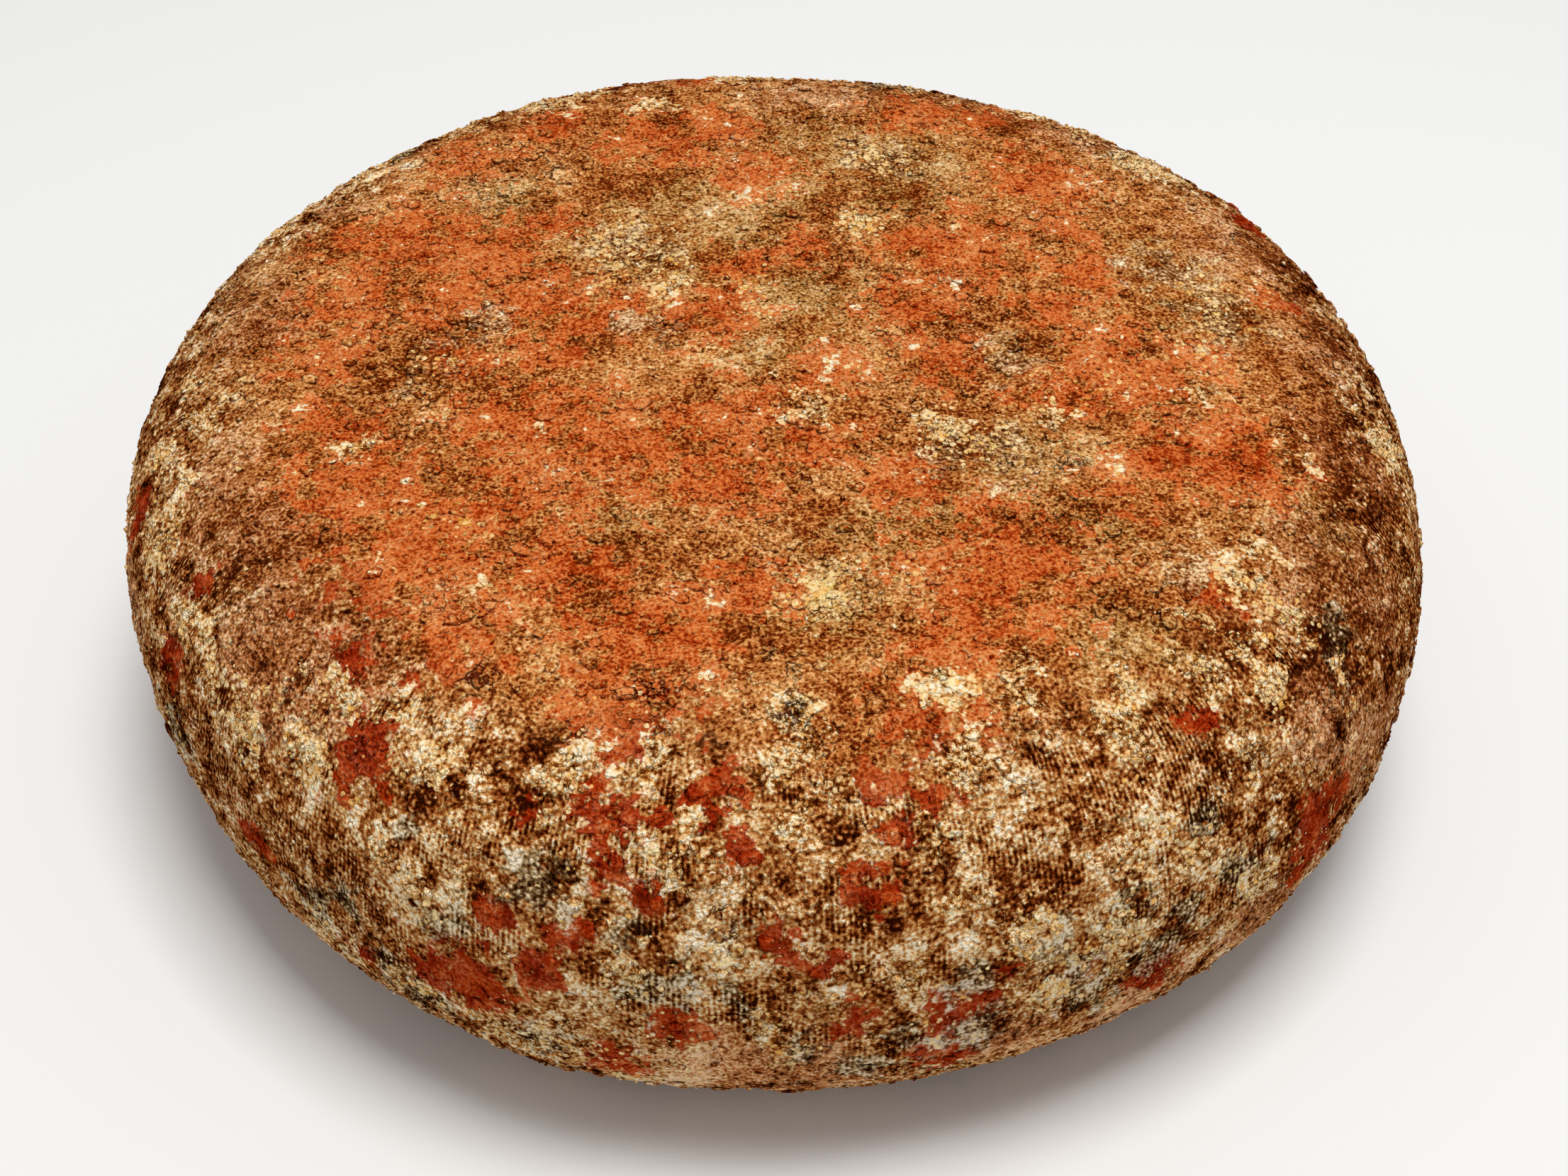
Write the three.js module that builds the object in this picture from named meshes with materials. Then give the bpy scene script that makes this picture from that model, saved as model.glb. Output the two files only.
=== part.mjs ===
// A whole wheel of natural-rind mountain cheese, a tomme, lying on one of its flat faces.
//
// The wheel is one solid piece. It was pressed in a round hoop and then slumped a little as it
// ripened, so its side, called the heel, bulges and runs into both flat faces in a soft shoulder,
// and its outline seen from above is not quite a circle.
//
// Millimetres, +Z up. The origin is the centre of the bottom face's bounding square, on the board.
import * as THREE from "three";

// Driving dimensions.
const RADIUS = 140; // mean radius at the widest part of the heel
const HEIGHT = 92; // from the board to the top face's shoulder
const SHOULDER = 47; // how far in from the heel the curve reaches before a face runs flat
const HEEL_POWER = 2.44; // 2 is a plain ellipse; above that the heel is fuller
const CROWN = 1.2; // rise of the top face from its edge to its centre

// How the outline leaves a circle: lobes round the wheel, share of the radius, and where the
// first lobe stands, in degrees from +X.
const OUT_OF_ROUND = [
  { lobes: 2, share: 0.01, at: -65 },
  { lobes: 3, share: 0.0024, at: 28 },
  { lobes: 4, share: 0.0026, at: -43 },
  { lobes: 5, share: 0.0042, at: 33 },
];

const TURN_STEPS = 96; // facets round the wheel
const HEEL_STEPS = 11; // facets from the widest part of the heel to each flat face
const CROWN_STEPS = 3; // rings across the crowned top face

const MID_HEIGHT = HEIGHT / 2;
const FLAT_RADIUS = RADIUS - SHOULDER;

// A point of the heel's half section: a superellipse quarter, turned from the widest part of the
// heel (turn = 0) to the edge of a flat face (turn = a right angle). side is +1 up and -1 down.
function heelPoint(turn, side) {
  const out = Math.cos(turn) ** (2 / HEEL_POWER);
  const up = Math.sin(turn) ** (2 / HEEL_POWER);
  return new THREE.Vector2(FLAT_RADIUS + SHOULDER * out, MID_HEIGHT * (1 + side * up));
}

// The half section from the centre of the bottom face, out round the heel, to the top's centre.
function halfSection() {
  const points = [new THREE.Vector2(0, 0), new THREE.Vector2(FLAT_RADIUS, 0)];
  for (let step = HEEL_STEPS - 1; step > -HEEL_STEPS; step--) {
    const turn = (Math.abs(step) / HEEL_STEPS) * (Math.PI / 2);
    points.push(heelPoint(turn, step > 0 ? -1 : 1));
  }
  for (let step = 0; step < CROWN_STEPS; step++) {
    const inward = 1 - step / CROWN_STEPS;
    points.push(new THREE.Vector2(FLAT_RADIUS * inward, HEIGHT + CROWN * (1 - inward ** 2)));
  }
  points.push(new THREE.Vector2(0, HEIGHT + CROWN));
  return points;
}

// How far out the outline stands at an angle round the wheel, as a share of the mean radius.
function outline(angle) {
  const lobes = OUT_OF_ROUND.map(
    (lobe) => lobe.share * Math.cos(lobe.lobes * (angle - THREE.MathUtils.degToRad(lobe.at))),
  );
  return 1 + lobes.reduce((sum, lobe) => sum + lobe, 0);
}

// Pushes every point of a turned shape out or in to follow the outline, then centres it.
function slump(geometry) {
  const position = geometry.getAttribute("position");
  for (let i = 0; i < position.count; i++) {
    const share = outline(Math.atan2(position.getY(i), position.getX(i)));
    position.setXY(i, position.getX(i) * share, position.getY(i) * share);
  }
  geometry.computeBoundingBox();
  const { min, max } = geometry.boundingBox;
  geometry.translate(-(min.x + max.x) / 2, -(min.y + max.y) / 2, 0);
  return geometry;
}

function cheeseWheel() {
  const turned = new THREE.LatheGeometry(halfSection(), TURN_STEPS);
  turned.rotateX(Math.PI / 2); // the lathe turns about Y; the wheel stands along Z
  const geometry = slump(turned);
  geometry.computeVertexNormals();
  const rind = new THREE.MeshStandardMaterial({
    color: 0x8f5a34, // brown felt of ripening moulds
    roughness: 0.95,
    metalness: 0,
  });
  const mesh = new THREE.Mesh(geometry, rind);
  mesh.name = "cheese_wheel";
  return mesh;
}

const wheel = new THREE.Group();
wheel.add(cheeseWheel());

export default wheel;
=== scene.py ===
# %% [markdown]
# # A whole wheel of natural-rind cheese
#
# A mountain cheese of this kind is pressed in a hoop lined with cloth and then ripens for months
# on a board. Its outside dries into a rind, and moulds grow on it: a brown felt first, then
# orange-red, white, grey and yellow colonies. The cellar keeper pats them down by hand, which
# leaves a crust of grains and crumbs. This lesson grows that crust on a plain wheel. It sets up the
# camera and the light, places the moulds, makes the rind and its grains, and mixes the finish.

# %% Load the frame
import math

import bpy
import numpy as np
from mathutils import Matrix, Vector


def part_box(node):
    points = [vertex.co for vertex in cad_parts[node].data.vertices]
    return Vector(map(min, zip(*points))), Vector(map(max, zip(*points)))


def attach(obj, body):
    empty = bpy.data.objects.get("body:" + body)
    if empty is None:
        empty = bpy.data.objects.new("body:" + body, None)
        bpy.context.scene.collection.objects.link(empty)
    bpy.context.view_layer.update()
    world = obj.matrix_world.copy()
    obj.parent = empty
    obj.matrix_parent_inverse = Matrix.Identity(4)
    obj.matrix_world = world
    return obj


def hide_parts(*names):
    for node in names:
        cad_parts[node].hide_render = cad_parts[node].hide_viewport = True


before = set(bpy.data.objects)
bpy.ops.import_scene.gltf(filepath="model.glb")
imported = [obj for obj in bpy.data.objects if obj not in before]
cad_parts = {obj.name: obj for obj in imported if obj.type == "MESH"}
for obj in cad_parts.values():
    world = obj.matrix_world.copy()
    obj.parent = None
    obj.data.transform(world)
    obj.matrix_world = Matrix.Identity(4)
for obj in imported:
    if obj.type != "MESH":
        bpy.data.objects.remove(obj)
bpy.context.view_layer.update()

# %% [markdown]
# ## Driving sizes
#
# Everything below is worked out in millimetres and turned to metres only when a mesh is made. The
# wheel's outline isn't a circle, because a soft young cheese slumps a little. The outline is a sum
# of a few slow waves round the wheel, and the wheel's radius follows from the frame's box.

# %% Work out the wheel's sizes
MM = 0.001
WAVES_ROUND = [(2, 0.010, -65), (3, 0.0024, 28), (4, 0.0026, -43), (5, 0.0042, 33)]
CROWN = 1.2  # rise of the top face from its edge to its middle
SHOULDER = 47.0  # how far in from the heel the curve reaches
HEEL_POWER = 2.44  # 2 is a plain ellipse, and more is fuller


def outline(angle):
    """Share of the mean radius at an angle: 1 plus share * cos(waves * (angle - first crest))."""
    return 1 + sum(s * np.cos(n * (angle - np.radians(at))) for n, s, at in WAVES_ROUND)


box_low, box_high = (np.array(corner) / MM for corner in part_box("cheese_wheel"))
turn = np.linspace(0, 2 * np.pi, 3601)
loop = np.stack([outline(turn) * np.cos(turn), outline(turn) * np.sin(turn)])
RADIUS = (box_high - box_low)[0] / np.ptp(loop[0])
SHIFT = (box_high + box_low)[:2] / 2 - RADIUS * (loop.max(1) + loop.min(1)) / 2
HEIGHT = box_high[2] - CROWN
MIDDLE = HEIGHT / 2
FLAT = RADIUS - SHOULDER
print(f"mean radius {RADIUS:.1f} mm, height {HEIGHT:.1f} mm, flat to {FLAT:.1f} mm")

# %% [markdown]
# ## The half section
#
# Every point on the wheel is named by two numbers: an angle round it, and how many millimetres down
# it lies from the middle of the top face, measured along the surface. The second one needs the half
# section as a curve of known length. It is a shallow crown, a superellipse for the shoulder and
# heel, and the flat underside.

# %% Measure along the half section


def half_section():
    """Radius and height from the top's middle to the underside's middle. The crown is a parabola,
    and the heel is ((r - flat) / shoulder)^p + ((z - middle) / middle)^p = 1."""
    inward = np.linspace(0, 1, 200)[:-1]
    crown = np.stack([FLAT * inward, HEIGHT + CROWN * (1 - inward**2)])
    turn = np.linspace(np.pi / 2, -np.pi / 2, 4001)
    out = np.abs(np.cos(turn)) ** (2 / HEEL_POWER)
    up = np.sign(turn) * np.abs(np.sin(turn)) ** (2 / HEEL_POWER)
    heel = np.stack([FLAT + SHOULDER * out, MIDDLE * (1 + up)])
    under = np.stack([FLAT * (1 - np.linspace(0, 1, 200)[1:]), np.zeros(199)])
    return np.concatenate([crown, heel, under], axis=1)


section = half_section()
steps = np.linalg.norm(np.diff(section, axis=1), axis=0)
down = np.concatenate([[0], np.cumsum(steps)])
slope_r, slope_z = np.gradient(section[0], down), np.gradient(section[1], down)
HEEL_DOWN = down[np.argmax(section[0])]
UNDER_DOWN = down[-1] - FLAT
print(f"widest {HEEL_DOWN:.1f} mm down, underside from {UNDER_DOWN:.1f} to {down[-1]:.1f} mm")


def on_wheel(angle, below):
    """Points and outward directions at an angle and a distance down the section. The radius is the
    section's times the outline, and the direction is the section's slope turned a quarter."""
    reach = np.interp(below, down, section[0]) * outline(angle)
    tall = np.interp(below, down, section[1])
    side, up = -np.interp(below, down, slope_z), np.interp(below, down, slope_r)
    points = np.stack([reach * np.cos(angle) + SHIFT[0], reach * np.sin(angle) + SHIFT[1], tall], 1)
    ways = np.stack([side * np.cos(angle), side * np.sin(angle), up], 1)
    return points, ways / np.linalg.norm(ways, axis=1, keepdims=True)


# %% [markdown]
# ## Camera, floor and light
#
# The wheel is looked down on from a little under half a metre away, close enough that the front of
# the heel looms. The light is a big soft one, high above and a little to the right and the front,
# with pale light from all round, so the heel darkens gently towards the table.

# %% Set up the camera
LENS = 52.08  # mm, on a sensor 36 mm wide
LOOK_DOWN = 41.66  # degrees below the horizon
DISTANCE = 484.3
AIM = np.array([2.9, -26.1, 46.2])
LEAN = 0.25  # degrees that the camera leans to its left

camera = bpy.data.objects.new("camera", bpy.data.cameras.new("camera"))
camera.data.lens = LENS
camera.data.sensor_width = 36
camera.data.clip_start = 0.01
back = Vector((0, -math.cos(math.radians(LOOK_DOWN)), math.sin(math.radians(LOOK_DOWN))))
facing = (-back).to_track_quat("-Z", "Y").to_matrix().to_4x4()
place = Matrix.Translation(Vector(AIM * MM) + back * DISTANCE * MM)
camera.matrix_world = place @ facing @ Matrix.Rotation(math.radians(LEAN), 4, "Z")
bpy.context.scene.collection.objects.link(camera)
bpy.context.scene.camera = camera
bpy.context.scene.view_settings.view_transform = "Standard"
print(f"The camera is {DISTANCE:.0f} mm away and looks {LOOK_DOWN:.0f} degrees down")

# %% Lay the floor


def linear(hex_colour):
    """An sRGB colour such as #c87a42 as linear numbers: ((c + 0.055) / 1.055)^2.4, or c / 12.92
    when dark."""
    parts = [int(hex_colour[i : i + 2], 16) / 255 for i in (1, 3, 5)]
    return [c / 12.92 if c <= 0.04045 else ((c + 0.055) / 1.055) ** 2.4 for c in parts] + [1.0]


def add(tree, kind, inputs=None, stops=None, **settings):
    """Adds one node. settings are its properties; inputs gives sockets, by name or number, a value
    or a link from another node's output; stops are a ramp's places and colours."""
    made = tree.nodes.new("ShaderNode" + kind)
    for name, value in settings.items():
        setattr(made, name, value)
    for name, value in (inputs or {}).items():
        if isinstance(value, bpy.types.NodeSocket):
            tree.links.new(value, made.inputs[name])
        else:
            made.inputs[name].default_value = value
    for i, (place, colour) in enumerate(stops or []):
        ramp = made.color_ramp.elements
        stop = ramp[i] if i < 2 else ramp.new(place)
        stop.position = place
        stop.color = linear(colour)
    return made


FLOOR_HALF = 3.0  # metres
FLOOR_COLOUR = "#e8e8e6"
floor_mesh = bpy.data.meshes.new("floor")
corners = [(-1, -1), (1, -1), (1, 1), (-1, 1)]
spread_out = [(x * FLOOR_HALF, y * FLOOR_HALF, 0) for x, y in corners]
floor_mesh.from_pydata(spread_out, [], [(0, 1, 2, 3)])
floor = bpy.data.objects.new("floor", floor_mesh)
bpy.context.scene.collection.objects.link(floor)
paper = bpy.data.materials.new("matt white paper")
paper.use_nodes = True
paper_shader = paper.node_tree.nodes["Principled BSDF"]
paper_shader.inputs["Base Color"].default_value = linear(FLOOR_COLOUR)
paper_shader.inputs["Roughness"].default_value = 0.9
floor_mesh.materials.append(paper)
print(f"The floor is {2 * FLOOR_HALF:.0f} m wide")

# %% Hang the light
ROOM_COLOUR = "#fdfdff"
ROOM_STRENGTH = 0.47
SOFTBOX_WATTS = 16.8
SOFTBOX_SIDE = 0.6  # metres
SOFTBOX_PLACE = Vector((0.12, -0.14, 1.48))  # metres
room = bpy.data.worlds.new("pale room")
room.use_nodes = True
room.node_tree.nodes["Background"].inputs["Color"].default_value = linear(ROOM_COLOUR)
room.node_tree.nodes["Background"].inputs["Strength"].default_value = ROOM_STRENGTH
bpy.context.scene.world = room
softbox = bpy.data.objects.new("softbox", bpy.data.lights.new("softbox", "AREA"))
softbox.data.size = SOFTBOX_SIDE
softbox.data.energy = SOFTBOX_WATTS
softbox.location = SOFTBOX_PLACE
softbox.rotation_euler = (-SOFTBOX_PLACE).to_track_quat("-Z", "Y").to_euler()
bpy.context.scene.collection.objects.link(softbox)
print(f"The softbox hangs {SOFTBOX_PLACE.length:.2f} m away and gives {SOFTBOX_WATTS} W")

# %% [markdown]
# ## Chance heights
#
# A rind has no two crumbs alike, so its bumps are drawn by chance, but the same chance every time:
# each draw has its own seed. The bumps are smooth noise in space, worked out for all points at
# once.

# %% Draw smooth chance bumps
FULL_HEIGHT = 1.7  # brings the blended slopes to about -1 to 1


def bumps(points, size, seed):
    """Smooth heights of about -1 to 1. Space is cut into cubes of one size in mm, every corner gets
    a chance slope, and a point blends its eight corners' slopes by 6t^5 - 15t^4 + 10t^3."""
    draw = np.random.default_rng(seed)
    slopes = draw.normal(size=(256, 3))
    slopes /= np.linalg.norm(slopes, axis=1, keepdims=True)
    order = np.tile(draw.permutation(256), 2)
    corner = np.floor(points / size).astype(int)
    inside = points / size - corner
    ease = inside**3 * (inside * (inside * 6 - 15) + 10)
    height = np.zeros(len(points))
    for step in np.ndindex(2, 2, 2):
        a, b, c = ((corner + step) & 255).T
        slope = slopes[order[order[order[a] + b] + c]]
        weight = np.prod(np.where(step, ease, 1 - ease), axis=1)
        height += weight * ((inside - step) * slope).sum(axis=1)
    return height * FULL_HEIGHT


trial = np.random.default_rng(0).uniform(0, 280, (4000, 3))
trial_bumps = bumps(trial, 20, 0)
print(f"trial bumps reach from {trial_bumps.min():.2f} to {trial_bumps.max():.2f}")


def ease_between(value, start, end):
    """0 before start, 1 after end, and 3t^2 - 2t^3 in between."""
    t = np.clip((value - start) / (end - start), 0, 1)
    return t * t * (3 - 2 * t)


def crust_height(points, below):
    """How far the crust stands off the plain wheel, in mm, and its fine part as -1 to 1. It is the
    sum of dents, lumps and crumbs, each from its own noise, and it fades out on the underside."""
    dents = 0.75 * bumps(points, 62, 1) + 0.45 * bumps(points, 27, 2)
    lumps = 0.3 * bumps(points, 11, 3) + 0.7 * np.abs(bumps(points, 7, 4)) - 0.2
    crumbs = 0.5 * np.abs(bumps(points, 4.2, 5)) - 0.13 + 0.14 * bumps(points, 2.4, 6)
    fade = 1 - ease_between(below, UNDER_DOWN - 14, UNDER_DOWN - 1)
    fine = np.clip((lumps * 0.5 + crumbs) / 0.35, -1, 1)
    return (dents + lumps + crumbs) * fade, fine


# %% [markdown]
# ## Where the moulds grow
#
# Each kind of mould grows in colonies. Those on the top face are placed by millimetres from its
# middle, to the right and to the back. Those on the heel are placed by degrees round the wheel and
# millimetres down from the top's middle. The last number is the colony's size in millimetres. Round
# the back, where nobody has looked, colonies of the same kinds are strewn by chance.

# %% Place the colonies
TOP_COLONIES = {
    "red": [
        (-28, 80, 15), (-70, 72, 10), (-5, 64, 9), (-13, 85, 9), (-52, 87, 9), (33, 93, 10),
        (50, 93, 9), (60, 63, 12), (-92, 37, 9), (-78, 36, 14), (-64, 30, 13), (-50, 44, 8),
        (-88, 14, 12), (-70, 12, 13), (-50, 13, 13), (-34, 7, 10), (-12, 7, 9), (7, 33, 8),
        (40, 33, 15), (64, 42, 8), (68, 26, 9), (-7, 27, 8), (30, 11, 10), (60, 12, 9),
        (-95, -7, 9), (-66, -7, 8), (-45, -5, 8), (10, -13, 8), (36, -8, 10), (72, -10, 17),
        (90, -4, 8), (55, -18, 9), (-88, -30, 9), (-82, -48, 14), (-50, -28, 15), (-30, -38, 15),
        (-14, -28, 11), (-48, -52, 12), (-4, -27, 9), (10, -34, 8), (26, -46, 10), (-8, -46, 11),
        (92, -37, 14), (76, -38, 9), (66, -50, 8), (42, -70, 18), (-66, -66, 19), (-40, -72, 14),
        (-57, -90, 11), (-22, -90, 14), (34, -90, 11), (80, -75, 6), (-74, -111, 8),
        (-26, -106, 12), (24, -108, 9), (-113, -68, 5), (-5, -78, 9), (107, 18, 5), (-137, -35, 6),
    ],
    "khaki": [
        (5, 15, 16), (0, 55, 15), (30, 55, 13), (10, -80, 14), (32, -56, 13), (60, -58, 12),
        (-28, 30, 18), (-72, -9, 8), (46, -38, 14), (50, -8, 10), (95, 12, 14), (28, 72, 16),
        (-30, -62, 9), (-60, 52, 12), (84, 30, 12), (8, 85, 13), (-2, -4, 9), (-10, 42, 14),
        (20, -62, 10), (62, -88, 12), (-24, 55, 14), (100, -60, 14),
    ],
    "grey": [
        (-30, 32, 10), (-72, -9, 7), (38, -36, 10), (49, -9, 8), (95, 10, 10), (86, 28, 9),
        (26, 72, 8), (-62, 4, 6), (-28, 4, 5), (76, -72, 6), (108, -80, 8),
    ],
    "dull": [
        (-97, -60, 18), (-92, -86, 16), (-110, -45, 12), (-106, 8, 13), (118, 5, 12),
        (112, -30, 12), (104, 40, 14), (-100, 60, 10), (-80, -95, 14), (100, -60, 10),
        (70, 88, 12), (10, 100, 12),
    ],
    "white": [
        (-27, 97, 4), (9, -24, 6), (34, -29, 5), (55, -27, 4), (-84, -35, 4), (-23, 17, 4),
        (18, 44, 4), (104, -33, 5), (88, -16, 4), (-52, -79, 2), (85, -72, 2), (-85, 72, 3),
        (38, 43, 3), (76, 74, 3), (98, -77, 3), (-68, -56, 2), (94, -90, 3), (60, -104, 5),
        (30, -102, 4), (5, -112, 5), (-86, -108, 5), (-106, -102, 5), (-112, -88, 5),
        (-126, -48, 7), (-128, -28, 5), (-118, -72, 5), (-60, -114, 5), (76, -98, 3), (44, -96, 3),
        (-10, 56, 2), (-33, 92, 2), (72, -82, 2), (88, -84, 3), (0, -14, 2), (-46, -31, 2),
    ],
    "yellow": [
        (-30, 30, 12), (-72, -10, 8), (38, -34, 9), (95, 12, 9), (25, 72, 8), (10, -80, 11),
        (-92, -95, 6), (-5, 20, 9), (18, 44, 8), (88, -84, 9), (62, -20, 6), (-60, -58, 6),
    ],
    "crack": [
        (-50, 66, 7), (-79, 8, 5), (25, 2, 6), (-95, -63, 5), (-52, -100, 9), (-42, -80, 4),
        (80, 77, 6), (5, -110, 8), (-25, 0, 6), (-109, -57, 4), (57, -40, 5), (-65, 3, 8),
        (-20, -104, 10), (20, -104, 8), (50, -108, 8), (-70, 60, 4), (96, 4, 6), (34, 88, 5),
        (-88, -95, 5), (0, -96, 8), (-110, -20, 6), (104, 44, 8), (-40, 60, 4),
    ],
}
HEEL_COLONIES = {
    "red": [
        (-109, 132, 4.8), (-103, 130, 5.8), (-98, 129, 3.9), (-109, 152, 5.8), (-107, 161, 4.8),
        (-112, 168, 8.7), (-112, 176, 6.8), (-116, 172, 6.8), (-104, 153, 4.8), (-124, 133, 5.8),
        (-135, 168, 5.8), (-89, 148, 3.9), (-83, 142, 4.8), (-86, 155, 3.9), (-84, 170, 5.8),
        (-77, 125, 4.8), (-76, 172, 8.7), (-77, 182, 7.7), (-43, 162, 8.7), (-43, 172, 7.7),
        (-122, 177, 4.8), (-71, 116, 3.9), (-42, 108, 4.8), (-102, 138, 3.9), (-99, 143, 3.9),
        (-95, 126, 5.8), (-94, 120, 4.8), (-81, 122, 4.8), (-73, 163, 3.9), (-67, 168, 4.8),
        (-102, 185, 6.8), (-60, 178, 6.8), (-92, 134, 3.9), (-80, 132, 3.9), (-150, 150, 5.8),
        (-165, 138, 3.9), (-96, 172, 4.8), (-130, 120, 4.8), (-53, 128, 3.9),
    ],
    "grey": [
        (-118, 142, 6), (-107, 142, 7), (-118, 184, 7), (-98, 161, 6), (-75, 163, 6),
        (-68, 168, 8), (-60, 170, 8), (-52, 158, 6), (-124, 165, 6), (-114, 158, 5),
        (-100, 150, 4), (-108, 184, 6), (-88, 178, 6), (-56, 145, 5), (-148, 165, 7),
        (-93, 165, 4), (-70, 158, 5), (-63, 158, 6), (-82, 184, 6), (-66, 176, 7), (-74, 178, 7),
        (-58, 164, 6), (-80, 174, 5), (-128, 172, 6), (-120, 176, 6),
    ],
    "dull": [
        (-35, 122, 12), (-40, 140, 12), (-30, 135, 12), (-48, 180, 12), (-92, 185, 12),
        (-72, 184, 10), (-140, 130, 10), (-165, 160, 12), (-15, 125, 10), (-60, 186, 10),
        (-86, 188, 12), (-35, 160, 12),
    ],
    "white": [
        (-129, 126, 4.5), (-107, 126, 6), (-158, 134, 5.2), (-170, 120, 4.5), (-146, 136, 3.8),
        (-120, 147, 4.5), (-117, 154, 5.2), (-113, 148, 3), (-72, 153, 5), (-64, 162, 6),
        (-60, 125, 4), (-50, 122, 4), (-40, 112, 4), (-127, 183, 6), (-118, 180, 4.5),
        (-69, 171, 6), (-96, 128, 4), (-88, 128, 5), (-84, 124, 4), (-78, 134, 4), (-100, 157, 5),
        (-97, 137, 4), (-105, 178, 5), (-93, 155, 4), (-80, 158, 4), (-45, 130, 3), (-35, 110, 4),
        (-163, 125, 3.8), (-176, 124, 4.5), (-152, 150, 3.8), (-56, 154, 5), (-62, 148, 5),
        (-90, 120, 4), (-74, 120, 5), (-100, 120, 4), (-136, 178, 4.5), (-110, 186, 6),
        (-90, 172, 5), (-76, 145, 4), (-50, 168, 5), (-66, 112, 3), (-58, 116, 3),
        (-122, 122, 3.8), (-170, 133, 4.5), (-8, 132, 8), (-2, 128, 4), (-47, 114, 2.2),
        (-46, 119, 2.5), (-46, 125, 2.4), (-45, 131, 2.6), (-45, 137, 2.2), (-40, 118, 2.2),
        (-39, 124, 2.5), (-39, 131, 2.6), (-38, 138, 2.4), (-38, 145, 2.4), (-52, 118, 2.4),
        (-52, 124, 2.6), (-51, 138, 2.4), (-51, 144, 2.2),
    ],
    "yellow": [
        (-85, 163, 5), (-83, 158, 4), (-114, 138, 5), (-116, 132, 4), (-78, 170, 4), (-90, 182, 5),
        (-60, 136, 5), (-138, 140, 5),
    ],
    "crack": [
        (-94, 147, 5), (-80, 128, 4), (-89, 163, 4), (-70, 130, 4), (-99, 118, 6), (-60, 150, 5),
        (-110, 122, 5), (-66, 164, 6), (-50, 140, 6), (-130, 150, 5),
    ],
}
BACK_COUNTS = {
    "red": 42, "khaki": 0, "grey": 26, "dull": 14, "white": 62, "yellow": 14, "crack": 14,
}
BACK_TURN = (12, 158)  # degrees round the wheel
BACK_DOWN = (112, 200)  # mm down from the top's middle
BACK_SIZES = (3.5, 8.5)  # mm


def colonies(kind, seed):
    """Centres and sizes, in mm, of one kind's colonies: those listed, and chance ones on the back
    half of the heel."""
    flat = np.array(TOP_COLONIES[kind], float).reshape(-1, 3)
    side = np.array(HEEL_COLONIES.get(kind, []), float).reshape(-1, 3)
    draw = np.random.default_rng(seed)
    count = BACK_COUNTS[kind]
    angle = np.radians(np.concatenate([side[:, 0], draw.uniform(*BACK_TURN, count)]))
    below = np.concatenate([side[:, 1], draw.uniform(*BACK_DOWN, count)])
    angle = np.concatenate([np.arctan2(flat[:, 1], flat[:, 0]), angle])
    below = np.concatenate([np.hypot(flat[:, 0], flat[:, 1]), below])
    sizes = np.concatenate([flat[:, 2], side[:, 2], draw.uniform(*BACK_SIZES, count)])
    return on_wheel(angle, below)[0], sizes


print("Colonies:", {kind: len(colonies(kind, 0)[1]) for kind in TOP_COLONIES})

# %% [markdown]
# ## How strongly each mould grows
#
# A colony is thickest at its middle, thins towards its edge and ends in a torn outline. So every
# point of the rind gets a number for each mould: 1 at a colony's middle, a half at its edge and
# less beyond. The points are first moved a little by chance, which tears the outlines.

# %% Work out the growth


def ragged(points):
    """Points moved a few millimetres by chance: a slow move and a quick one along each axis."""
    slow = [3.2 * bumps(points, 9, 20 + axis) for axis in range(3)]
    quick = [2.0 * bumps(points, 4, 30 + axis) for axis in range(3)]
    return points + np.stack([a + b for a, b in zip(slow, quick)], 1)


def growth(points, kind, seed):
    """How strongly one mould grows at each point: the most, over its colonies, of
    1 - distance / (2 * size), so 0.5 at a colony's edge."""
    centres, sizes = colonies(kind, seed)
    torn = ragged(points)
    most = np.zeros(len(points))
    for centre, size in zip(centres, sizes):
        most = np.maximum(most, 1 - np.linalg.norm(torn - centre, axis=1) / (2 * size))
    return most


HEEL_STARTS = 113  # mm down from the top's middle
HEEL_LATER = 5  # mm further down, at the front right
CLOTH_DOWN = (112, 124, 172, 200)  # mm down: the threads start, show fully, fade and end


def moulds(points, below):
    """Every mould's growth at the points, with how much the place counts as heel, where the felt is
    patchy, and how strongly the cloth's threads show. The change to heel has a wavy line."""
    grown = {kind: growth(points, kind, 40 + i) for i, kind in enumerate(TOP_COLONIES)}
    later = HEEL_LATER * ease_between(points[:, 0] - points[:, 1], 60, 180)
    edge = HEEL_STARTS + later + 9 * bumps(points, 22, 50) + 5 * bumps(points, 8, 51)
    grown["heel"] = ease_between(below, edge - 9, edge + 9)
    patchy = ease_between(bumps(points, 14, 52) + 0.5 * bumps(points, 6, 53), -0.15, 0.35)
    start, full, fade, end = CLOTH_DOWN
    grown["cloth"] = patchy * ease_between(below, start, full) * (1 - ease_between(below, fade, end))
    return grown


moved = np.linalg.norm(ragged(trial) - trial, axis=1)
print(f"ragged() moves points by {moved.mean():.1f} mm, and by {moved.max():.1f} mm at most")

# %% [markdown]
# ## The rind
#
# The rind is one closed skin. Rings of points on a round face would crowd at its middle, so the
# top is laid out as a square grid pressed into a disc: the square's rings become the disc's rings,
# and ring k has 8k points. From the last ring, columns run straight down over the heel, and a plain
# fan closes the flat underside.

# %% Lay out the rind's grid
RINGS = 84
PATCH_DOWN = 118.0  # mm down, where the square grid ends
HEEL_ROWS = 95
UNDER_ROWS = 6


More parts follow.
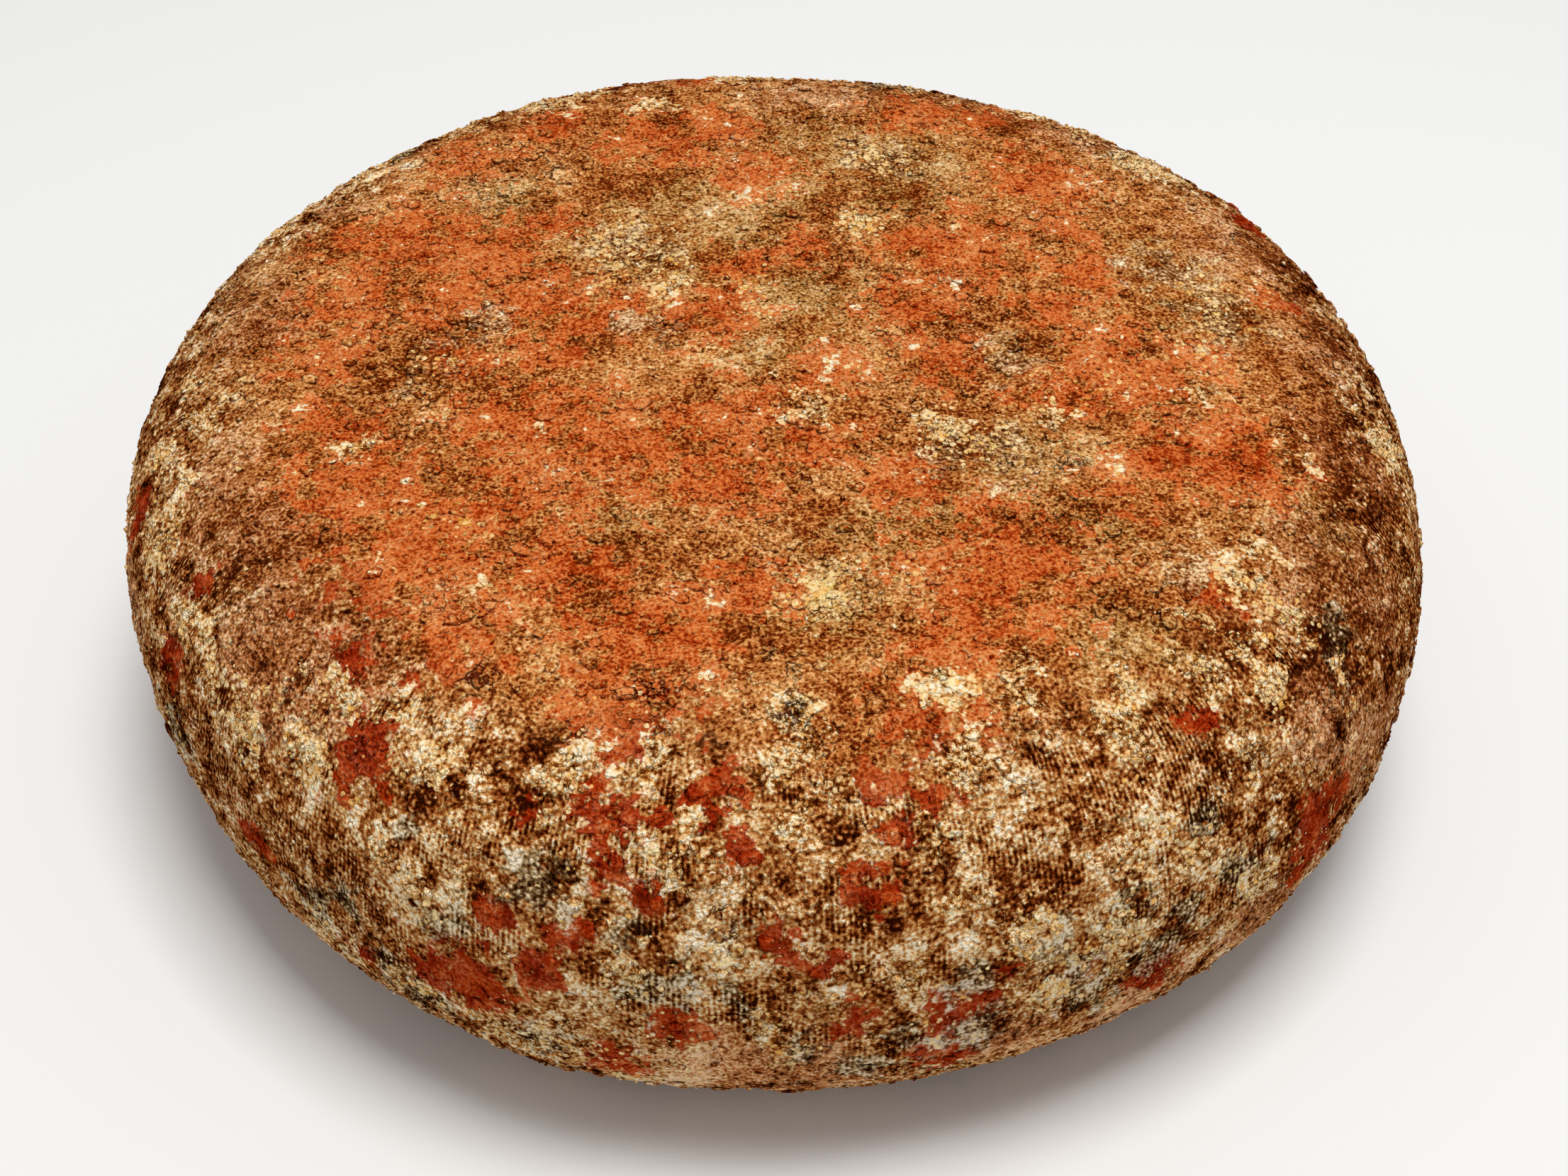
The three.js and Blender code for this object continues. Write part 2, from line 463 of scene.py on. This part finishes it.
def grid_on_top():
    """Angles and distances down of a square grid pressed into a disc, and the grid's quads. In the
    square's ring k a point lies at angle quarter turn * (how far along its side) from that side."""
    across = np.arange(-RINGS, RINGS + 1)
    i, j = np.meshgrid(across, across, indexing="ij")
    ring = np.maximum(np.abs(i), np.abs(j))
    safe = np.maximum(ring, 1)
    eighth = np.pi / 4
    angle = np.select(
        [i == ring, j == ring, i == -ring],
        [eighth * j / safe, 2 * eighth - eighth * i / safe, 4 * eighth - eighth * j / safe],
        6 * eighth + eighth * i / safe,
    )
    number = np.arange(i.size).reshape(i.shape)
    quads = np.stack([number[:-1, :-1], number[1:, :-1], number[1:, 1:], number[:-1, 1:]], -1)
    return angle.ravel(), (ring * PATCH_DOWN / RINGS).ravel(), quads.reshape(-1, 4), number


def rind_grid():
    """Angles, distances down and faces of the whole skin."""
    angle, below, quads, number = grid_on_top()
    # The rim starts at the square's corner (+, -), which lies at -45 degrees, and runs round once.
    edges = [number[-1, :-1], number[::-1, -1][:-1], number[0, ::-1][:-1], number[:, 0][:-1]]
    rim = np.concatenate(edges)
    columns = len(rim)
    rim_angle = -np.pi / 4 + 2 * np.pi * np.arange(columns) / columns
    heel = np.linspace(PATCH_DOWN, UNDER_DOWN, HEEL_ROWS + 1)[1:]
    under = UNDER_DOWN + FLAT * np.linspace(0, 1, UNDER_ROWS + 1)[1:-1]
    rows = np.concatenate([heel, under])
    band = len(angle) + np.arange(len(rows) * columns).reshape(len(rows), columns)
    lines = np.concatenate([rim[None], band])
    ahead = np.roll(lines, -1, axis=1)
    sides = np.stack([lines[:-1], lines[1:], ahead[1:], ahead[:-1]], -1).reshape(-1, 4)
    middle = band.max() + 1
    fan = np.stack([np.full(columns, middle), ahead[-1], lines[-1]], -1)
    angle = np.concatenate([angle, np.tile(rim_angle, len(rows)), [0]])
    below = np.concatenate([below, np.repeat(rows, columns), [down[-1]]])
    return angle, below, quads, sides, fan


def make_piece(name, points, faces, fields):
    """A mesh object at the origin from points in mm, lists of faces and named numbers per point."""
    mesh = bpy.data.meshes.new(name)
    corners = np.concatenate([block.ravel() for block in faces])
    sizes = np.concatenate([np.full(len(block), block.shape[1]) for block in faces])
    starts = np.concatenate([[0], np.cumsum(sizes)[:-1]])
    mesh.vertices.add(len(points))
    mesh.vertices.foreach_set("co", (points * MM).astype(np.float32).ravel())
    mesh.loops.add(len(corners))
    mesh.loops.foreach_set("vertex_index", corners.astype(np.int32))
    mesh.polygons.add(len(sizes))
    mesh.polygons.foreach_set("loop_start", starts.astype(np.int32))
    mesh.polygons.foreach_set("use_smooth", np.ones(len(sizes), bool))
    for field, values in fields.items():
        numbers = mesh.attributes.new(field, "FLOAT", "POINT").data
        numbers.foreach_set("value", values.astype(np.float32))
    mesh.update(calc_edges=True)
    mesh.validate()
    made = bpy.data.objects.new(name, mesh)
    bpy.context.scene.collection.objects.link(made)
    triangles = int((sizes - 2).sum())
    print(f"{name}: {len(points)} points, {triangles} triangles")
    return made


# %% Make the rind
# Painted light and shade: the front of the heel is painted paler as if lit, and its right side and
# the whole heel darker as if in shade.
PAINTED_LIGHT_FRONT = 0.19  # how much paler the front of the heel is
PAINTED_SHADE_RIGHT = 0.16  # how much darker the right of the heel is
PAINTED_SHADE_HEEL = 0.03  # how much darker all of the heel is
angle, below, quads, sides, fan = rind_grid()
plain, outward = on_wheel(angle, below)
height, fine = crust_height(plain, below)
skin = plain + outward * height[:, None]
skin[:, 2] = np.where(below >= UNDER_DOWN - 0.01, 0, np.maximum(skin[:, 2], 0.05))
fields = moulds(plain, below)
front = ease_between(plain @ np.array([0.1, -1, 0]), 70, 130)
right = ease_between(plain @ np.array([1, 0, 0]), 30, 110)
# The crust's fine height goes into the tone as well: its hollows are painted darker as shade and its
# high points paler as light.
fields["tone"] = fine * 0.12 + (PAINTED_LIGHT_FRONT * front - PAINTED_SHADE_RIGHT * right - PAINTED_SHADE_HEEL) * fields["heel"]
print(f"the crust lies {height.min():.1f} to {height.max():.1f} mm off the plain wheel")
rind = make_piece("rind", skin, [quads, sides, fan], fields)

# %% [markdown]
# ## Grains of mould
#
# Up close the crust is grains: felt patted down by hand dries into crumbs of about a millimetre,
# and white mould grows in little cushions. Each grain is a lump with six sides, a top and a foot,
# with its foot sunk in the rind. Thousands of them make each piece.

# %% Strew the grains
GRAIN_SIDES = 6
GRAIN_LIFT = 0.05  # mm that a grain's middle stands off the crust
FOOT = 0.7  # how deep the foot reaches, as a share of the grain's height
GRAINS_END = UNDER_DOWN - 22


def strew(count, seed, wanted):
    """Angles and distances down of chance places, even over the surface, kept by how much wanted()
    says that they are wanted, from 0 to 1."""
    draw = np.random.default_rng(seed)
    spread = np.cumsum(section[0] * np.gradient(down))
    kept_angle, kept_below = np.zeros(0), np.zeros(0)
    while len(kept_angle) < count:
        angle = draw.uniform(-np.pi, np.pi, count)
        below = np.interp(draw.uniform(0, 1, count), spread / spread[-1], down)
        keep = (draw.uniform(0, 1, count) < wanted(angle, below)) & (below < GRAINS_END)
        kept_angle = np.concatenate([kept_angle, angle[keep]])
        kept_below = np.concatenate([kept_below, below[keep]])
    return kept_angle[:count], kept_below[:count]


def make_grains(name, angle, below, seed, sizes, profile, tones, extra):
    """One piece of many grains. sizes are the smallest and largest radius in mm and the height as
    a share of the radius. Each ring of the profile is (share of the radius, share of the height),
    and a ring's points are centre + radius * (cos, sin) + height, stretched by chance. tones are
    the mean and spread of the grains' tones, and extra overrules a mould's growth."""
    draw = np.random.default_rng(seed)
    count = len(angle)
    plain, outward = on_wheel(angle, below)
    height, _ = crust_height(plain, below)
    smallest, largest, flatness = sizes
    size = smallest + (largest - smallest) * draw.uniform(0, 1, count) ** 2
    along = np.cross(outward, draw.normal(size=(count, 3)))
    along /= np.linalg.norm(along, axis=1, keepdims=True)
    across = np.cross(outward, along)
    turn = 2 * np.pi * np.arange(GRAIN_SIDES) / GRAIN_SIDES
    stretch = size[:, None] * draw.uniform(0.55, 1.35, (count, GRAIN_SIDES))
    tall = size * flatness * draw.uniform(0.8, 1.3, count)
    tip = (outward * tall[:, None])[:, None]
    rings = [tip]
    for wide, high in profile:
        ring = along[:, None] * (wide * stretch * np.cos(turn))[..., None]
        ring = ring + across[:, None] * (wide * stretch * np.sin(turn))[..., None]
        uneven = high + draw.uniform(-0.15, 0.2, (count, GRAIN_SIDES))
        rings.append(ring + outward[:, None] * (uneven * tall[:, None])[..., None])
    rings.append(-FOOT * tip)
    centre = plain + outward * (height + GRAIN_LIFT)[:, None]
    points = np.concatenate(rings, axis=1) + centre[:, None]
    points[..., 2] = np.maximum(points[..., 2], 0.02)
    side = np.arange(GRAIN_SIDES)
    ahead = (side + 1) % GRAIN_SIDES
    last = 1 + GRAIN_SIDES * (len(profile) - 1)
    each = last + GRAIN_SIDES + 1
    parts = [np.stack([np.zeros_like(side), 1 + side, 1 + ahead], 1)]
    for start in range(1, last, GRAIN_SIDES):
        below_it = start + GRAIN_SIDES
        parts.append(np.stack([start + side, below_it + side, below_it + ahead], 1))
        parts.append(np.stack([start + side, below_it + ahead, start + ahead], 1))
    parts.append(np.stack([np.full_like(side, each - 1), last + ahead, last + side], 1))
    faces = np.concatenate(parts)[None] + each * np.arange(count)[:, None, None]
    fields = {field: np.repeat(values, each) for field, values in moulds(plain, below).items()}
    lift = draw.normal(*tones, count)
    fields["tone"] = np.repeat(lift, each)
    for field, amount in extra.items():
        fields[field] = np.full(count * each, amount)
    return make_piece(name, points.reshape(-1, 3), [faces.reshape(-1, 3)], fields)


def in_crowds(angle, below):
    """Crumbs stand in crowds some 2 cm wide, and thinly between them."""
    points, _ = on_wheel(angle, below)
    crowd = bumps(points, 20, 70) + 0.7 * bumps(points, 7, 71)
    return 0.2 + 0.8 * ease_between(crowd, -0.2, 0.4)


def where_white(angle, below):
    """White grains stand thick in white colonies, thinly on the heel and rarely on top."""
    points, _ = on_wheel(angle, below)
    grown = moulds(points, below)
    patchy = bumps(points, 3.5, 60) + 0.6 * bumps(points, 9, 61)
    thick = 0.8 * ease_between(grown["white"] + 0.3 * patchy, 0.5, 0.8)
    crowd = np.maximum(grown["yellow"], grown["white"]) + 0.3 * patchy
    thin = 0.06 * ease_between(crowd, 0.4, 0.9)
    thin = thin + 0.05 * ease_between(patchy, 0, 0.6) * grown["heel"]
    return np.clip(thick + thin, 0, 1) * (1 - ease_between(grown["red"], 0.5, 0.6) * 0.9)


# %% Make the three pieces of grains
GRAIN_PROFILE = [(1.0, 0.1)]
CRUMB_PROFILE = [(0.6, 0.9), (1.0, 0.2)]
PALE = {"white": 1.0}  # a pale grain is white mould all through
STREWN = [  # name, count, where, seed, sizes, profile, tones, extra
    ("felt_crumbs", 8000, in_crowds, 105, (0.6, 1.9, 0.26), CRUMB_PROFILE, (0, 0.07), {}),
    ("felt_grains", 16000, in_crowds, 101, (0.25, 0.75, 0.6), GRAIN_PROFILE, (0.02, 0.12), {}),
    ("pale_grains", 14000, where_white, 103, (0.3, 0.85, 0.7), GRAIN_PROFILE, (-0.02, 0.2), PALE),
]
pieces = [rind]
for name, count, where, seed, *look in STREWN:
    spots = strew(count, seed, where)
    pieces.append(make_grains(name, *spots, seed + 1, *look))

# %% [markdown]
# ## The rind's finish
#
# Every mould is a matt powder with its own colours. Each mould has a ramp of seven colours from dark
# to light, and one number, the tone, says where on its ramp a spot lies; the dark end also serves as
# painted shade between the grains and the light end as painted light on their tips. Crumbs, blotches
# and threads have about their real sizes. Mould dust is too fine to show, so the grit is drawn as
# coarse as it needs to be to show.

# %% Choose the colours and the sizes
RAMP_PLACES = (0.16, 0.29, 0.4, 0.5, 0.6, 0.71, 0.85)
MOULD_RAMPS = {
    "felt": "#5e1e05 #8e4215 #a95f27 #bf773c #ce8b4c #de9d5c #f4c488",
    "khaki": "#552406 #824e1a #9e6831 #b48044 #c49456 #d6aa6e #eac894",
    "dull": "#5a2008 #86431a #a05c2c #b77040 #c88656 #d89e6c #f2c090",
    "red": "#8c2606 #a83e12 #ba521e #cc642c #d67438 #d97a3e #e29458",
    "grey": "#441806 #643414 #804e28 #9c6c40 #b68a5c #d4a87a #f4d6a6",
    "heel": "#2c0b02 #622606 #8c461a #ad6c34 #c68e52 #dcb27c #f4d8a8",
    "deep": "#480802 #641002 #7e1a04 #962608 #aa360e #bc4c1a #d27c44",
    "soot": "#100802 #201206 #3a2814 #60492c #907852 #c2aa82 #ecdcc0",
    "bloom": "#5a2404 #985418 #c48846 #ecba82 #fad6a4 #ffe6c0 #fff4da",
    "white": "#7c3a10 #a86428 #cf9450 #ebbc7c #f6d49c #fbe2b4 #feefce",
    "yellow": "#6a4408 #8f6412 #b38a20 #cca832 #dfc04c #eed472 #f8e8a0",
}
NOISES = {  # size in mm, detail and roughness
    "grit": (0.65, 1.5, 0.5),
    "crumb": (3.2, 2.0, 0.6),
    "mottle": (5.0, 3.0, 0.65),
    "split": (5.0, 3.0, 0.6),
    "bloom": (7.0, 3.0, 0.6),
    "cloud": (16.0, 3.0, 0.5),
}
GRAIN = 1.0  # mm
FLECK = 1.3  # mm between flecks
THREADS = 856  # round the wheel, a thread of cheesecloth about every millimetre
THREAD_WANDER = 5.0  # radians
FLECK_COLOURS = ("#f0b458", "#ffe6ac")
CRACK_SHADE = "#6a2e18"
print(f"{len(MOULD_RAMPS)} ramps of {len(RAMP_PLACES)} colours, {len(NOISES)} noises")

# %% [markdown]
# ## The patterns
#
# The moulds are too ragged to draw by hand, so they are mixed from noises. Every pattern is worked
# out in the rind's own millimetres and stays on it wherever the wheel goes. The growth of each
# mould comes from the mesh, where it was written down for every point.

# %% Draw the patterns
rind_finish = bpy.data.materials.new("mould-felted natural rind")
rind_finish.use_nodes = True
tree = rind_finish.node_tree
held = add(tree, "TexCoord").outputs["Object"]
spot = add(tree, "VectorMath", {0: held, "Scale": 1 / MM}, operation="SCALE").outputs[0]
grown = {field: add(tree, "Attribute", attribute_name=field).outputs["Fac"] for field in fields}
noise = {}
for name, (size, detail, roughness) in NOISES.items():
    inputs = {"Vector": spot, "Scale": 1 / size, "Detail": detail, "Roughness": roughness}
    noise[name] = add(tree, "TexNoise", inputs).outputs["Fac"]
grains = add(tree, "TexVoronoi", {"Vector": spot, "Scale": 1 / GRAIN, "Randomness": 1.0})
grain_edge = grains.outputs["Distance"]
grain_shade = add(tree, "SeparateColor", {"Color": grains.outputs["Color"]}).outputs["Red"]


def combine(start, *parts):
    """start plus weight * (value - middle) for each part, as a chain of Math nodes."""
    total = start
    for value, weight, middle in parts:
        inputs = {0: value, 1: weight, 2: total}
        total = add(tree, "Math", inputs, operation="MULTIPLY_ADD").outputs[0]
        total = add(tree, "Math", {0: total, 1: -weight * middle}, operation="ADD").outputs[0]
    return total


print(f"{len(tree.nodes)} nodes hold the patterns")

# %% [markdown]
# ## Threads and crumbs
#
# The cloth's threads are ridges that run down the heel and wander a little: a sine of the angle
# round the wheel. Crumbs are rounded lumps with a sharp crease between them, where a noise crosses
# its middle. They stand in crowds, with smoother felt between.

# %% Draw the threads and the crumbs
axes = add(tree, "SeparateXYZ", {"Vector": spot}).outputs
bearing = add(tree, "Math", {0: axes["Y"], 1: axes["X"]}, operation="ARCTAN2").outputs[0]
wander = add(tree, "Math", {0: noise["mottle"], 1: THREAD_WANDER}, operation="MULTIPLY").outputs[0]
inputs = {0: bearing, 1: float(THREADS), 2: wander}
phase = add(tree, "Math", inputs, operation="MULTIPLY_ADD").outputs[0]
thread = add(tree, "Math", {0: phase}, operation="SINE").outputs[0]
weave = add(tree, "Math", {0: thread, 1: grown["cloth"]}, operation="MULTIPLY").outputs[0]

LUMP_TOP = 0.11  # how far from the crease a lump stops rising, in the noise's own units
crease = combine(0.0, (noise["crumb"], 1.0, 0.5))
crease = add(tree, "Math", {0: crease}, operation="ABSOLUTE").outputs[0]
crease = add(tree, "Math", {0: crease, 1: LUMP_TOP}, operation="MINIMUM").outputs[0]
crumbly = add(
    tree,
    "MapRange",
    {"Value": noise["cloud"], "From Min": 0.42, "From Max": 0.6, "To Min": 0.25},
    interpolation_type="SMOOTHSTEP",
).outputs["Result"]
lump = add(tree, "Math", {0: crease, 1: crumbly}, operation="MULTIPLY").outputs[0]
print(f"a thread every {2 * math.pi * RADIUS / THREADS:.2f} mm")

# %% [markdown]
# ## Tones
#
# The tone adds up what makes a spot light or dark: grit, grains, lumps, mottling and the tone of
# the mesh. Grit, the grains' own lots, mottling and clouds are the moulds' own uneven colour. The
# dark gaps between grains and the dark creases between lumps are painted shade, and the lumps' tops
# are painted light. The heel, the velvety red spots and the grainy white ones are painted in their
# own ways, so each of them has its own sum.

# %% Work out the tones
# Painted shade: the gaps between grains (grain_edge) and the creases between lumps (lump) darken the
# tone, and the lumps' tops lighten it as painted light.
tone = combine(
    grown["tone"],
    (noise["grit"], 1.5, 0.5),
    (grain_shade, 0.15, 0.5),
    (grain_edge, -0.35, 0.55),
    (lump, 0.8, 0.045),
    (noise["mottle"], 0.75, 0.5),
    (noise["cloud"], 0.8, 0.5),
)
# On the heel the gaps between grains add more painted shade, and the threads add painted light on
# their ridges and painted shade in their grooves.
heel_tone = combine(
    0.5,
    (tone, 0.5, 0.0),
    (grain_edge, -0.4, 0.5),
    (noise["mottle"], 0.5, 0.5),
    (noise["bloom"], 1.3, 0.5),
    (weave, 0.12, 0.0),
)
velvet_tone = combine(0.5, (tone, 0.4, 0.0), (noise["mottle"], 0.9, 0.5))
# The white grains get the deepest painted shade in the gaps between them.
grain_tone = combine(
    0.5,
    (tone, 0.4, 0.0),
    (grain_edge, -0.6, 0.45),
    (grain_shade, 0.2, 0.5),
    (noise["mottle"], 0.9, 0.5),
)
felt_tone = add(tree, "Math", {0: tone, 1: 0.5}, operation="ADD").outputs[0]
own_tones = {
    "heel": heel_tone,
    "soot": heel_tone,
    "deep": velvet_tone,
    "white": grain_tone,
    "bloom": grain_tone,
}
shade_of = {}
for kind, colours in MOULD_RAMPS.items():
    stops = list(zip(RAMP_PLACES, colours.split()))
    lit = {"Fac": own_tones.get(kind, felt_tone)}
    shade_of[kind] = add(tree, "ValToRGB", lit, stops=stops).outputs["Color"]
print(f"{len(shade_of)} shades, {len(own_tones)} of them with a tone of their own")

# %% [markdown]
# ## One mould over another
#
# Each mould covers what is under it where its growth, roughened by noise, passes a half. The noise
# is weaker on the heel, where the colonies are neater. Some moulds have another colour there: red
# is deeper, grey is sootier, and a pale bloom lies over the bare rind.

# %% Lay the moulds over the felt
COVERS = {  # growth where the torn edge starts and where it ends, and the most that it hides
    "khaki": (0.3, 0.8, 0.85),
    "dull": (0.3, 0.8, 0.85),
    "red": (0.47, 0.62, 0.96),
    "grey": (0.45, 0.75, 0.85),
    "yellow": (0.95, 1.25, 0.5),
    "white": (0.5, 0.62, 0.95),
}
torn = combine(
    0.0,
    (noise["mottle"], 2.5, 0.5),
    (noise["crumb"], 1.3, 0.5),
    (noise["cloud"], 1.0, 0.5),
)
calmer = combine(1.0, (grown["heel"], -0.3, 0.0))
torn = add(tree, "Math", {0: torn, 1: calmer}, operation="MULTIPLY").outputs[0]


def laid_over(under, over, mask):
    """under * (1 - mask) + over * mask, for two colours."""
    return add(tree, "Mix", {0: mask, 6: under, 7: over}, data_type="RGBA").outputs[2]


paleness = combine(
    0.0,
    (noise["bloom"], 1.0, 0.0),
    (noise["mottle"], 0.5, 0.5),
    (noise["grit"], 0.35, 0.5),
)
pale = add(
    tree,
    "MapRange",
    {"Value": paleness, "From Min": 0.59, "From Max": 0.63, "To Max": 0.92},
    interpolation_type="SMOOTHSTEP",
).outputs["Result"]
bloomed = laid_over(shade_of["heel"], shade_of["bloom"], pale)
colour = laid_over(shade_of["felt"], bloomed, grown["heel"])
shade_of["red"] = laid_over(shade_of["red"], shade_of["deep"], grown["heel"])
shade_of["grey"] = laid_over(shade_of["grey"], shade_of["soot"], grown["heel"])
for kind, (start, end, most) in COVERS.items():
    rough = add(tree, "Math", {0: grown[kind], 1: torn}, operation="ADD").outputs[0]
    mask = add(
        tree,
        "MapRange",
        {"Value": rough, "From Min": start, "From Max": end, "To Max": most},
        interpolation_type="SMOOTHSTEP",
    ).outputs["Result"]
    colour = laid_over(colour, shade_of[kind], mask)
print("Laid over the felt:", list(COVERS))

# %% [markdown]
# ## Flecks
#
# Single golden specks of young mould stand in crowds round the white, yellow and grey colonies.
# Each cell of a cell pattern draws a lot, and a speck grows at its middle where the lot and the
# crowd are high enough.

# %% Strew the flecks
flecks = add(tree, "TexVoronoi", {"Vector": spot, "Scale": 1 / FLECK, "Randomness": 1.0})
lots = add(tree, "SeparateColor", {"Color": flecks.outputs["Color"]}).outputs
crowd = combine(
    -0.41,
    (grown["white"], 0.25, 0.0),
    (grown["yellow"], 0.3, 0.0),
    (grown["grey"], 0.15, 0.0),
    (noise["cloud"], 1.0, 0.5),
    (lots["Red"], 0.5, 0.0),
    (flecks.outputs["Distance"], -0.5, 0.0),
)
flecked = add(
    tree,
    "MapRange",
    {"Value": crowd, "From Min": 0.0, "From Max": 0.06, "To Max": 0.85},
    interpolation_type="SMOOTHSTEP",
).outputs["Result"]
golden = laid_over(linear(FLECK_COLOURS[0]), linear(FLECK_COLOURS[1]), lots["Green"])
colour = laid_over(colour, golden, flecked)
print(f"flecks stand {FLECK} mm apart")

# %% [markdown]
# ## Cracks and relief
#
# A drying rind splits along crooked lines. The cracks follow the line where a slow noise crosses
# its middle, and open where they are placed and here and there by chance. They are sunk in the
# relief, and their colour is darkened with painted shade. Then every pattern that has a height is
# added up, in mm, and shades the surface as bumps. Powdery mould has no gloss, so the finish throws
# back no mirror light at all.

# %% Open the cracks
off_line = combine(0.0, (noise["split"], 1.0, 0.5))
off_line = add(tree, "Math", {0: off_line}, operation="ABSOLUTE").outputs[0]
opening = combine(
    -0.066,
    (grown["crack"], 0.1, 0.0),
    (noise["mottle"], 0.35, 0.5),
    (noise["cloud"], 0.1, 0.5),
)
opening = add(tree, "Math", {0: opening, 1: off_line}, operation="SUBTRACT").outputs[0]
crack = add(
    tree,
    "MapRange",
    {"Value": opening, "From Min": -0.012, "From Max": 0.035},
    interpolation_type="SMOOTHSTEP",
).outputs["Result"]
# Painted shade: along the cracks the colour is multiplied by CRACK_SHADE, the shade inside the
# crevices.
darkened = {0: crack, 6: colour, 7: linear(CRACK_SHADE)}
colour = add(tree, "Mix", darkened, data_type="RGBA", blend_type="MULTIPLY").outputs[2]
print(f"the cracks wander over some {NOISES['split'][0]:.0f} mm")

# %% Raise the relief
relief = combine(
    0.0,
    (grain_edge, -0.4, 0.0),
    (noise["grit"], 0.9, 0.0),
    (lump, 3.5, 0.0),
    (noise["mottle"], 3.0, 0.0),
    (weave, 0.09, 0.0),
    (crack, -1.0, 0.0),
)
bump = add(tree, "Bump", {"Height": relief, "Distance": MM, "Strength": 1.0})
shader = tree.nodes["Principled BSDF"]
tree.links.new(colour, shader.inputs["Base Color"])
tree.links.new(bump.outputs["Normal"], shader.inputs["Normal"])
shader.inputs["Roughness"].default_value = 0.95
shader.inputs["Specular IOR Level"].default_value = 0.0
print(f"the finish has {len(tree.nodes)} nodes")

# %% [markdown]
# ## Handing the wheel over
#
# All four pieces get the same finish and ride the one body there is. The rind stands in for the
# plain wheel, which is then hidden.

# %% Dress the pieces
for piece in pieces:
    piece.data.materials.append(rind_finish)
    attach(piece, "root")
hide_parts("cheese_wheel")
print("Dressed:", [piece.name for piece in pieces])
